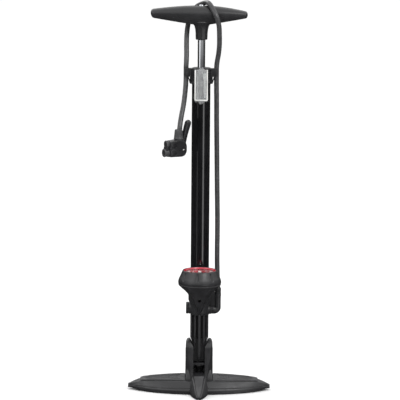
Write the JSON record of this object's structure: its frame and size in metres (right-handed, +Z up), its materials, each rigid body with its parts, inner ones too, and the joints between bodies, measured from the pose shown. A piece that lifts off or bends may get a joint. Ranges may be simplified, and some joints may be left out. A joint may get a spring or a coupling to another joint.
{
  "type": "floor bike pump",
  "caption": "Upright floor pump with a winged handle, steel barrel, front gauge, twin-port head on a hose, and a winged foot base.",
  "frame": {"origin": "on the barrel's axis, at the floor, on the flat underside of the base", "axes": "+Z up along the barrel; -Y towards the front, where the gauge and the toe are; +X to the right seen from the front, the hose elbow's side"},
  "size_m": [0.234, 0.1168, 0.6397],
  "materials": {
    "dark_plastic": "moulded, satin",
    "base_plastic": "moulded, fine grain",
    "barrel_paint": "gloss black",
    "chrome": "plated and polished",
    "steel": "zinc plated",
    "brass": "machined",
    "rubber": "matte",
    "hose_rubber": "smooth, slight sheen",
    "clear_plastic": "clear, slightly frosted",
    "lens": "clear, polished",
    "dial_red": "printed, glossy",
    "white_plastic": "gloss"
  },
  "bodies": {
    "root": {"barrel": "barrel_paint", "barrel_cap": "dark_plastic", "rod_bush": "brass", "rod_wiper": "rubber", "accessory_case": "clear_plastic", "ball_needle": "steel", "bladder_adapter": "white_plastic", "lower_body": "dark_plastic", "barrel_seal": "rubber", "valve_seat": "dark_plastic", "check_spring": "steel", "hose_elbow": "dark_plastic", "hose_ferrule": "dark_plastic", "cross_plug": "dark_plastic", "gauge_housing": "dark_plastic", "gauge_bezel": "dark_plastic", "gauge_lens": "lens", "gauge_dial": "dial_red", "bourdon_tube": "brass", "gauge_movement": "brass", "gauge_screw": "steel", "hose_riser": "hose_rubber", "hose_loop": "hose_rubber", "hose_drop": "hose_rubber", "head_collar": "dark_plastic", "head_body": "dark_plastic", "port_collar_upper": "dark_plastic", "port_collar_lower": "dark_plastic", "grommet_upper": "rubber", "grommet_lower": "rubber", "lever_pin": "steel", "base": "base_plastic", "tread_left": "rubber", "tread_right": "rubber", "foot_left": "rubber", "foot_right": "rubber", "fork_bolt": "steel", "fork_nut": "steel", "column_bolt": "steel"},
    "plunger": {"handle": "dark_plastic", "handle_nut": "chrome", "handle_stud": "steel", "piston_rod": "chrome", "rod_plug": "brass", "top_bumper": "rubber", "piston": "dark_plastic", "piston_cup": "rubber", "piston_washer": "steel", "piston_screw": "steel"},
    "lever": {"head_lever": "dark_plastic"},
    "squeezer": {"head_plunger": "white_plastic"},
    "pointer": {"gauge_needle": "white_plastic", "needle_shaft": "steel"},
    "poppet": {"check_poppet": "rubber"}
  },
  "joints": [
    {"name": "pump_stroke", "type": "slide", "parent": "root", "child": "plunger", "axis": [0, 0, 1], "range_m": [0, 0.327], "deforming": ["hose_loop"]},
    {"name": "head_lever_swing", "type": "hinge", "parent": "root", "child": "lever", "pos_m": [-0.03101, -0.04156, 0.4024], "axis": [-0.4695, 0.8829, 0], "range_deg": [0, 90]},
    {"name": "grommet_squeeze", "type": "slide", "parent": "root", "child": "squeezer", "axis": [-0.8829, -0.4695, 0], "range_m": [0, 0.003]},
    {"name": "pointer_turn", "type": "hinge", "parent": "root", "child": "pointer", "pos_m": [0, -0.051, 0.2], "axis": [0, 0, -1], "range_deg": [0, 270], "stiffness_Nm_per_rad": 0.0002},
    {"name": "check_valve", "type": "slide", "parent": "root", "child": "poppet", "axis": [0, 0, -1], "range_m": [0, 0.002], "stiffness_N_per_m": 60, "springref_m": -0.002, "deforming": ["check_spring"]}
  ],
  "couplings": [
    {"joint": "grommet_squeeze", "follows": "head_lever_swing", "m_per_rad": 0.0019}
  ]
}
